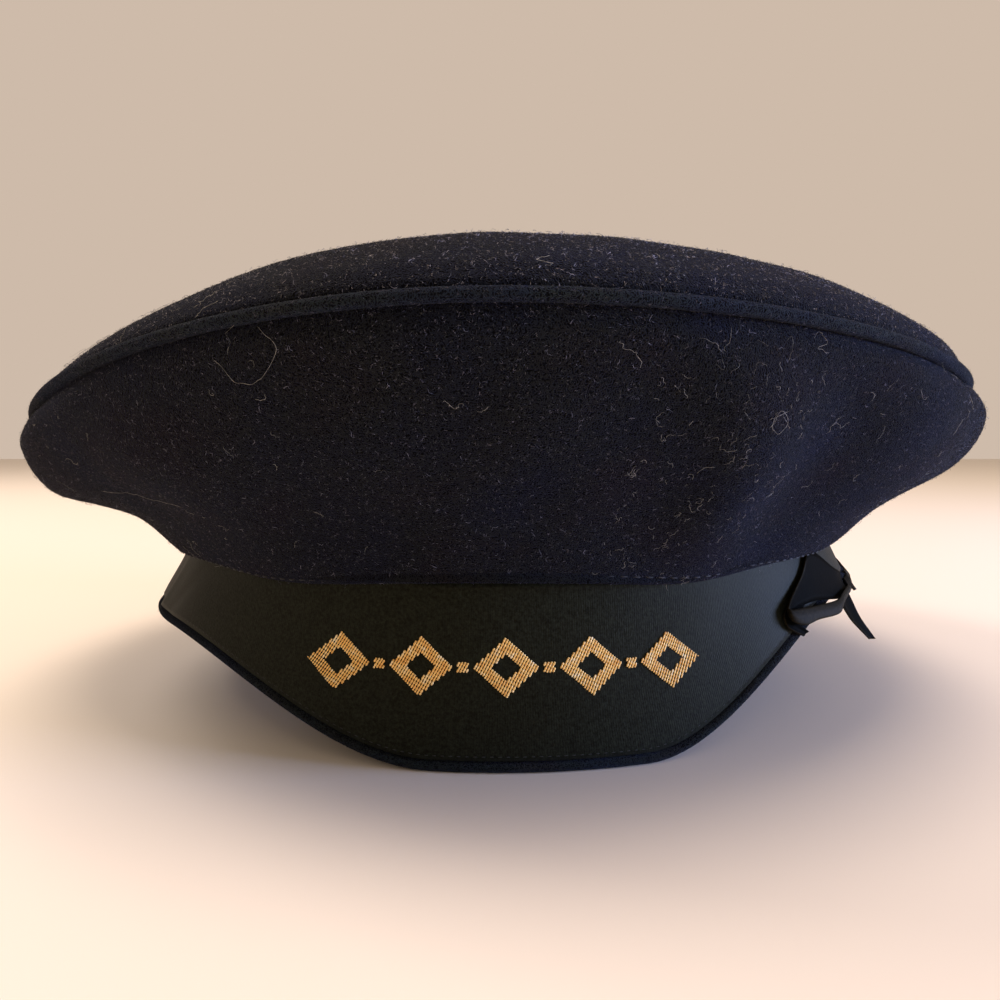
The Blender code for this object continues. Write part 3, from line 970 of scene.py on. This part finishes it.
WOOL = wool("milled navy wool")
WELT_WOOL = wool("milled navy wool on the bias", deep="#06080a", light="#2e3334")
NAP = thread("loose wool nap", "#0f1011", "#343633", "#747080")
# The top's nap: the same nap in lighter tones, as painted light where the top faces the light from above
# and is seen at a low angle.
TOP_NAP_PAINTED_LIGHT = thread("loose wool nap, lighter as painted light", "#141416", "#4c4b4c", "#a7a0a6")
# The hem's nap: the same nap in darker tones, as painted shade low on the band next to the floor.
HEM_NAP_PAINTED_SHADE = thread("loose wool nap on the hem, darker as painted shade", "#0e0e10", "#29292b", "#4c4c54")
CURL = thread("curled wool fibres", "#4a4855", "#747280", "#a19eac")
LINT = thread("pale lint", "#77736c", "#98948c", "#b9b4aa")
SILK = ribbon_silk("black silk ribbon")
SATEEN = plain_cloth("black cotton sateen", "#0e0e0f")
# The bow's right side and knot: the ribbon's black silk made darker than on the band, as painted shade
# where the crown and the loops shadow the bow, with hardly any gloss and no sheen.
BOW_SILK_PAINTED_SHADE = ribbon_silk("black silk ribbon, right side, darkened as painted shade", "#040404", "#0b0c0a", 0.01, 0.0)
# The bow's wrong side: the same silk made lighter and browner than the right side, as painted light where
# the front loop's lower layer catches the light.
BOW_WRONG_SIDE_PAINTED_LIGHT = ribbon_silk("black silk ribbon, wrong side, brown with painted light", "#13110c", "#2a251b", 0.04, 0.0)
STITCHES = plain_cloth("black sewing thread", "#202024", 0.7)
RIBBON_THREAD = plain_cloth("grey sewing thread", "#1e1e1b", 0.7)
GOLD_LOOK = {"stops": (0.3, 0.55, 0.75), "grain": 700.0, "detail": 2.0, "roughness": 0.42, "gloss": 0.5}
GOLD = thread("gold thread floats", "#f2b45c", "#ffd07a", "#ffecc0", **GOLD_LOOK)
GOLD_GROUND = plain_cloth("brown thread under the gold", "#3e1c0c")


def finished(piece, finish, slot, *nodes):
    """Gives a piece its material, hides the solids that it stands for, and hangs it on the root. The slot
    is not used.
    """
    piece.data.materials.append(finish)
    if nodes:
        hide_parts(*nodes)
    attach(piece, "root")
    return piece


def build_crown(rng):
    """The crown's side, top and welt, with their seam and nap. Gives the panels' grids by name."""
    side, top = side_grid(), top_grid()
    side_piece = sheet_from("crown_side_wool", side, CROWN_WALL)
    finished(side_piece, WOOL, "navy_wool", "crown_side")
    top_piece = sheet_from("crown_top_wool", top, CROWN_WALL, pole=(0.0, 0.0, TOP_HEIGHT))
    finished(top_piece, WOOL, "navy_wool", "crown_top")
    welt = welt_rows()
    welt_piece = finished(closed_ring("rim_welt_wool", welt), WELT_WOOL, "navy_wool", "rim_welt")
    finished(seam_stitches("crown_seam_stitches", side), STITCHES, "navy_wool")
    finished(nap("crown_side_nap", side, CROWN_NAP, rng), NAP, "navy_wool")
    finished(nap("crown_top_nap", top, CROWN_NAP, rng), TOP_NAP_PAINTED_LIGHT, "navy_wool")
    finished(nap("rim_welt_nap", np.concatenate([welt, welt[:1]]), WELT_NAP, rng), NAP, "navy_wool")
    return {"side": side, "top": top}


# Curled fibres on each panel, the points along each, and the range of their steps and of their radii
CURLS = {"side": 1300, "top": 3000}
CURL_JOINTS = 5
CURL_STEPS = (0.1, 0.38)
CURL_RADII = (0.02, 0.04)


def build_curls(grids, rng):
    """Longer fibres of the cloth's own, worked loose and curled: paler than the face."""
    for panel, grid in grids.items():
        count = CURLS[panel]
        place = scattered(grid, count, rng)
        paths = curled(place, rng, CURL_JOINTS, rng.uniform(*CURL_STEPS, count), curl=0.7, hover=0.45)
        piece = strands(f"crown_{panel}_curls", paths, rng.uniform(*CURL_RADII, count))
        finished(piece, CURL, "navy_wool")


# Lint: how many loose fibres, on which part of the crown (angles and climb), and their step
LintPatch = namedtuple("LintPatch", "count first_angle last_angle low high step")
LINT_PATCHES = {
    "side": (
        LintPatch(130, 0, 360, 0.05, 0.95, 0.22),
        LintPatch(110, 10, 25, 0.45, 0.88, 0.18),
        LintPatch(16, 14, 30, 0.6, 0.97, 0.4),
        LintPatch(16, 30, 48, 0.5, 0.95, 0.3),
        LintPatch(12, -75, -40, 0.3, 0.8, 0.5),
    ),
    "top": (
        LintPatch(110, 0, 360, 0.02, 0.95, 0.22),
        LintPatch(12, -45, -20, 0, 0.25, 0.7),
    ),
}
LINT_JOINTS = 10
LINT_STEP_SHARES = (0.4, 1.6)
LINT_RADII = (0.012, 0.035)


def lint_on(grid, patches, rng):
    """Paths of the loose fibres on one panel."""
    rows, columns = np.mgrid[0 : len(grid) - 1, 0 : grid.shape[1]]
    climb = rows / len(grid)
    angle = columns / grid.shape[1] * 360
    paths = []
    for patch in patches:
        across = (angle - patch.first_angle) % 360 <= patch.last_angle - patch.first_angle
        keep = across & (climb >= patch.low) & (climb <= patch.high)
        steps = patch.step * rng.uniform(*LINT_STEP_SHARES, patch.count)
        place = scattered(grid, patch.count, rng, keep)
        paths.append(curled(place, rng, LINT_JOINTS, steps, curl=0.8, hover=0.3))
    return np.concatenate(paths)


# Single hairs on each panel: places along them, as degrees round the cap and share of the way up it
HAIRS = {
    "side": (
        ((-17.5, 0.99), (-15.6, 0.93), (-17.1, 0.87), (-18.9, 0.87), (-20.7, 0.93)),
        ((-45, 0.67), (-41.4, 0.655), (-38.7, 0.64), (-34.2, 0.63)),
        ((22.3, 0.46), (21.7, 0.44), (22.9, 0.43), (22.2, 0.42), (22.6, 0.40)),
        ((21.4, 0.80), (20.2, 0.79), (20.9, 0.76), (21.6, 0.78), (20.6, 0.80), (20, 0.77)),
        ((23.6, 0.97), (24.6, 0.99), (25, 0.97), (24, 0.95), (24.9, 0.94)),
        ((-4, 0.80), (-3.2, 0.785), (-2.6, 0.79)),
        ((8, 0.93), (8.7, 0.91), (9.3, 0.90), (9.6, 0.87)),
    ),
    "top": (
        ((-21.4, 0.08), (-22.6, 0.04), (-23.2, 0.01)),
        ((3, 0.10), (3.6, 0.12), (2.6, 0.14), (3.4, 0.17)),
    ),
}
# The loose thread over the ribbon: degrees round, and height up the ribbon's face
HANGING_THREAD = ((22.3, 38.5), (21.8, 37.5), (22.9, 36.8), (22.2, 35.4), (22.5, 33.5))
HANGING_THREAD_OFF = 1.8
HAIR_RADIUS = 0.028
HAIR_HOVER = 0.35
# How far they stray from their places: in degrees, and in shares of the way up or in millimetres
HAIR_STRAY = (0.10, 0.0022)
THREAD_STRAY = (0.12, 0.15)
HAIR_JOINTS = 14
HAIR_STEPS = 4
HAIR_HIGHEST = 0.999


def on_grid(grid, columns, rows):
    """Points at these places on a round grid, counted in columns and rows, between its own points."""
    j, i = np.floor(columns).astype(int), np.clip(np.floor(rows).astype(int), 0, len(grid) - 2)
    s, t = (columns - j)[:, None], (rows - i)[:, None]
    j, after = j % grid.shape[1], (j + 1) % grid.shape[1]
    low = grid[i, j] * (1 - s) + grid[i, after] * s
    return low * (1 - t) + (grid[i + 1, j] * (1 - s) + grid[i + 1, after] * s) * t


def strayed(places, stray, rng):
    """A smooth path through these places that wanders a little beside them."""
    path = at_places(np.array(places), np.linspace(0, len(places) - 1, HAIR_JOINTS))
    return through(path + rng.normal(0, stray, path.shape), HAIR_STEPS)


def build_threads(grids, rng):
    """The single hairs on the crown and the loose thread over the ribbon."""
    for panel, grid in grids.items():
        lifted = grid + normals_of(grid) * HAIR_HOVER
        paths = []
        for places in HAIRS[panel]:
            path = strayed(places, HAIR_STRAY, rng)
            rows = np.clip(path[:, 1], 0, HAIR_HIGHEST) * (len(grid) - 1)
            paths.append(on_grid(lifted, path[:, 0] / 360 * grid.shape[1], rows))
        finished(strands(f"crown_{panel}_hairs", np.array(paths), HAIR_RADIUS), LINT, "navy_wool")
    path = strayed(HANGING_THREAD, THREAD_STRAY, rng)
    line, _ = ribbon_points(np.radians(path[:, 0]), path[:, 1], HANGING_THREAD_OFF)
    finished(strands("ribbon_loose_thread", line[None], HAIR_RADIUS), LINT, "black_ribbon")


def build_lint(grids, rng):
    """The pale lint on the crown."""
    for panel, grid in grids.items():
        paths = lint_on(grid, LINT_PATCHES[panel], rng)
        piece = strands(f"crown_{panel}_lint", paths, rng.uniform(*LINT_RADII, len(paths)))
        finished(piece, LINT, "navy_wool")


def build_band(rng):
    """The band, its ribbon and sweatband, and what is on them."""
    rows = band_rows()
    band = finished(closed_ring("band_wool", rows), WELT_WOOL, "navy_wool", "band")
    ribbon = sheet_from("hat_ribbon_silk", ribbon_grid(), RIBBON_WALL)
    finished(ribbon, SILK, "black_ribbon", "hat_ribbon")
    sweatband = sheet_from("sweatband_cloth", sweatband_grid(), SWEATBAND_WALL)
    finished(sweatband, SATEEN, "sweatband_cloth", "sweatband")
    hem = nap("band_nap", rows[: len(HEM_ROLL)], BAND_NAP, rng)
    finished(hem, HEM_NAP_PAINTED_SHADE, "navy_wool")
    gold = ornament("ribbon_ornament", FLOAT_HALVES, off=0.07, rings=3, sides=6)
    finished(gold, GOLD, "gold_thread")
    ground = ornament("ribbon_ornament_ground", GROUND_HALVES, off=0.02, rings=1, sides=4)
    finished(ground, GOLD_GROUND, "gold_thread")
    finished(ribbon_stitches("ribbon_foot_stitches"), RIBBON_THREAD, "black_ribbon")


def build_bow():
    """The bow's strips and its knot. A strip's two sides have their own colours: the right side darkened
    as painted shade, and the wrong side lightened to brown as painted light.
    """
    for node, rows in BOW_STRIPS.items():
        piece = finished(bow_strip(node + "_silk", rows), BOW_WRONG_SIDE_PAINTED_LIGHT, "black_ribbon", node)
        piece.data.materials.append(BOW_SILK_PAINTED_SHADE)
        piece.modifiers["wall"].material_offset = 1
    knot = finished(bow_knot("bow_knot_silk"), BOW_SILK_PAINTED_SHADE, "black_ribbon", "bow_knot")


ROOM_BRIGHT = "#cebbaa"
ROOM_DIM = "#b3a596"
FLOOR_COLOUR = "#eaded0"
FLOOR_HALF = 3000.0
FLOOR_LEVEL = -0.05
# Lamps: place and aim in metres, side in metres, colour, watts
Lamp = namedtuple("Lamp", "name place aim side colour watts")
LAMPS = (
    Lamp("warm lamp", (-1.00, 0.35, 1.20), (-0.2, 0.1, 0.05), 0.5, "#fff3ea", 10.0),
    Lamp("cool window", (0.95, -0.20, 0.11), (0.05, 0.0, 0.06), 0.35, "#a4beff", 19.0),
    Lamp("ceiling lamp", (0.05, -0.05, 2.00), (0.0, 0.0, 0.1), 1.0, "#ffeddc", 27.0),
)


def build_stage():
    """A pale floor, soft light from all round, and three lamps."""
    sides = ((-1, -1), (1, -1), (1, 1), (-1, 1))
    corners = [(x * FLOOR_HALF, y * FLOOR_HALF, FLOOR_LEVEL) for x, y in sides]
    floor = mesh_object("floor", corners, [np.arange(4)[None]], smooth_shaded=False)
    look = {"Base Color": linear(FLOOR_COLOUR), "Roughness": 0.6}
    floor.data.materials.append(material("painted white board", look)[0])

    world = bpy.data.worlds.new("pale room")
    world.use_nodes = True
    tree = world.node_tree
    direction = add(tree, "ShaderNodeTexCoord").outputs["Generated"]
    facing = add(tree, "ShaderNodeSeparateXYZ", {"Vector": direction}).outputs["Y"]
    share = add(tree, "ShaderNodeMapRange", {"Value": facing, "From Min": -1.0, "From Max": 1.0})
    colour = ramp(tree, share.outputs[0], ((0.2, ROOM_DIM), (0.8, ROOM_BRIGHT)))
    tree.links.new(colour, tree.nodes["Background"].inputs["Color"])
    bpy.context.scene.world = world

    for lamp in LAMPS:
        data = bpy.data.lights.new(lamp.name, "AREA")
        data.size = lamp.side
        data.color = linear(lamp.colour)[:3]
        data.energy = lamp.watts
        light = placed(lamp.name, data)
        light.location = lamp.place
        facing = Vector(lamp.aim) - Vector(lamp.place)
        light.rotation_euler = facing.to_track_quat("-Z", "Y").to_euler()


def build_camera():
    """The camera, at the picture's place and angle."""
    data = bpy.data.cameras.new("camera")
    data.sensor_width = CAMERA_SENSOR
    data.lens = CAMERA_LENS
    data.shift_y = CAMERA_SHIFT_UP
    data.clip_start = CAMERA_NEAREST_M
    camera = placed("camera", data)
    camera.location = CAMERA_PLACE_M
    camera.rotation_euler = (np.radians(CAMERA_TILT_DEG), 0.0, 0.0)
    bpy.context.scene.camera = camera


build_camera()
build_stage()
rng = np.random.default_rng(RANDOM_SEED)
panels = build_crown(rng)
build_curls(panels, rng)
build_lint(panels, rng)
build_threads(panels, rng)
build_band(rng)
build_bow()
bpy.context.scene.view_settings.view_transform = "Standard"
